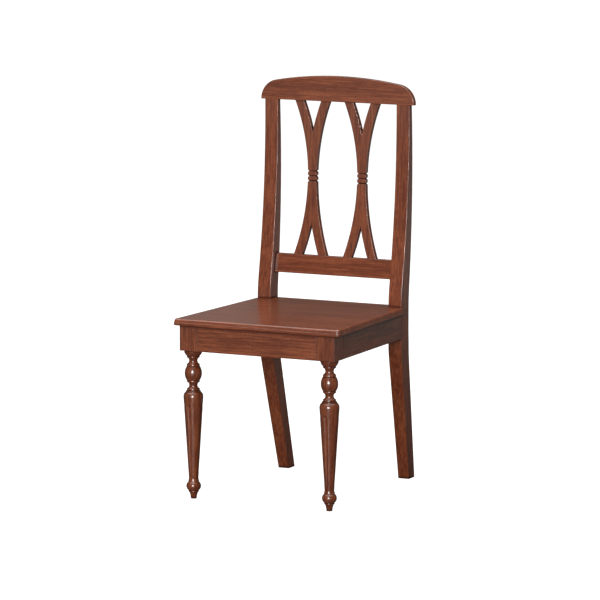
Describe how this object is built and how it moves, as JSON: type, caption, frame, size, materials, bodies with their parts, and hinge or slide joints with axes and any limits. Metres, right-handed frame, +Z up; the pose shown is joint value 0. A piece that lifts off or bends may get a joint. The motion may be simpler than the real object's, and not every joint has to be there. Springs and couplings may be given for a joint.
{
  "type": "dining chair",
  "caption": "Wooden dining chair with turned, fluted front legs, sabre back posts, an arched crest rail, pierced hourglass splats and a solid moulded seat.",
  "frame": {"origin": "on the floor, in the middle of the footprint", "axes": "+Z up; the chair faces -Y, so +Y points to its back; +X is to the right seen from the front"},
  "size_m": [0.4548, 0.535, 1.0217],
  "materials": {
    "frame_wood": "semi-gloss lacquer over a reddish brown stain",
    "seat_wood": "semi-gloss lacquer over a reddish brown stain",
    "hidden_wood": "sealed wood",
    "dowel_wood": "bare beech",
    "screw_steel": "zinc plated"
  },
  "bodies": {
    "root": {"front_leg_left": "frame_wood", "front_leg_right": "frame_wood", "back_post_left": "frame_wood", "back_post_right": "frame_wood", "front_apron": "frame_wood", "side_apron_left": "frame_wood", "side_apron_right": "frame_wood", "rear_apron": "frame_wood", "crest_rail": "frame_wood", "lower_back_rail": "frame_wood", "splat_left": "frame_wood", "splat_right": "frame_wood", "seat_board": "seat_wood", "corner_block_front_left": "hidden_wood", "corner_block_front_right": "hidden_wood", "corner_block_rear_left": "hidden_wood", "corner_block_rear_right": "hidden_wood", "front_apron_dowels": "dowel_wood", "side_apron_dowels": "dowel_wood", "rear_apron_dowels": "dowel_wood", "lower_rail_dowels": "dowel_wood", "crest_dowels": "dowel_wood", "corner_block_screws": "screw_steel", "seat_screws": "screw_steel"}
  },
  "joints": []
}
